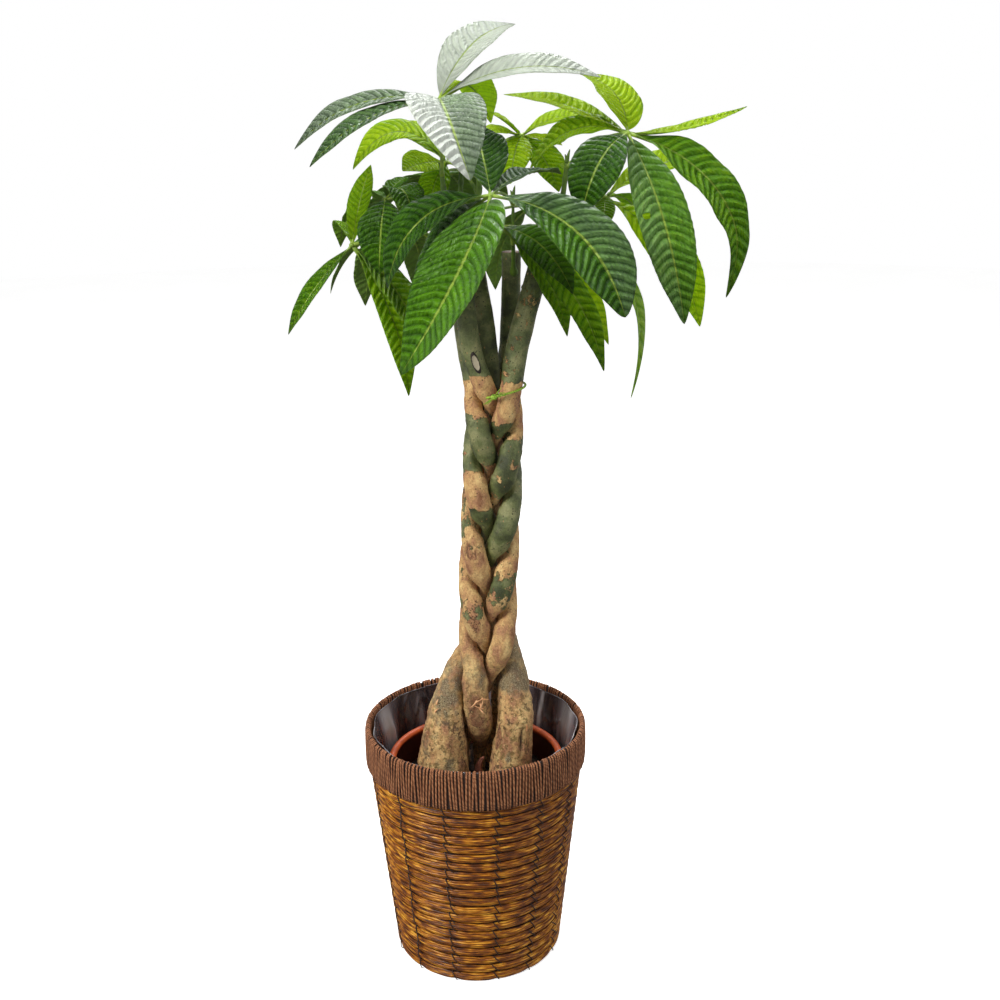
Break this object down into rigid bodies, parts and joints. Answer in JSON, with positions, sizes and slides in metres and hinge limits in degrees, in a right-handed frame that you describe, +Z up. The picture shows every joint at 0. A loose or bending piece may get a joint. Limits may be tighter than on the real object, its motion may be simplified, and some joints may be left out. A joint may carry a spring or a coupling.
{
  "type": "potted money tree",
  "caption": "Plaited-trunk house plant with a crown of hand-shaped leaves, in a nursery pot inside a film-lined straw basket.",
  "frame": {"origin": "centre of the basket's flat underside, on the surface it stands on", "axes": "+Z up along the basket's axis, -Y towards the viewer of the picture, +X to the viewer's right"},
  "size_m": [0.4956, 0.44, 1.0843],
  "materials": {
    "straw": "lacquered golden-brown straw in coiled bundles, stitched with dark cane",
    "cord": "dull dark-brown twisted paper cord",
    "film": "creased grey translucent film",
    "terracotta": "moulded terracotta-coloured plastic with a satin rim",
    "soil": "dark crumbly potting mix",
    "bark": "smooth grey-green bark with tan corky patches",
    "twine": "green plastic garden twine",
    "green_stem": "smooth bright green shoot",
    "leaf": "glossy green leaf with pale midribs"
  },
  "bodies": {
    "root": {"basket": "straw", "rim_band": "cord", "liner": "film", "nursery_pot": "terracotta", "trunk_left": "bark", "trunk_back_left": "bark", "trunk_right": "bark", "trunk_back_right": "bark", "trunk_front": "bark", "soil": "soil", "tie": "twine", "shoot_back": "green_stem", "shoot_middle": "green_stem", "shoot_right": "green_stem", "shoot_centre": "green_stem", "shoot_left": "green_stem", "leaf_crown": "leaf", "leaf_front": "leaf", "leaf_right": "leaf", "leaf_low_left": "leaf", "leaf_mid_left": "leaf", "leaf_young": "leaf", "leaf_high_left": "leaf", "leaf_low_right": "leaf", "leaf_back_right": "leaf", "leaf_back_left": "leaf", "leaf_rear_low": "leaf", "leaf_rear_mid": "leaf"}
  },
  "joints": []
}
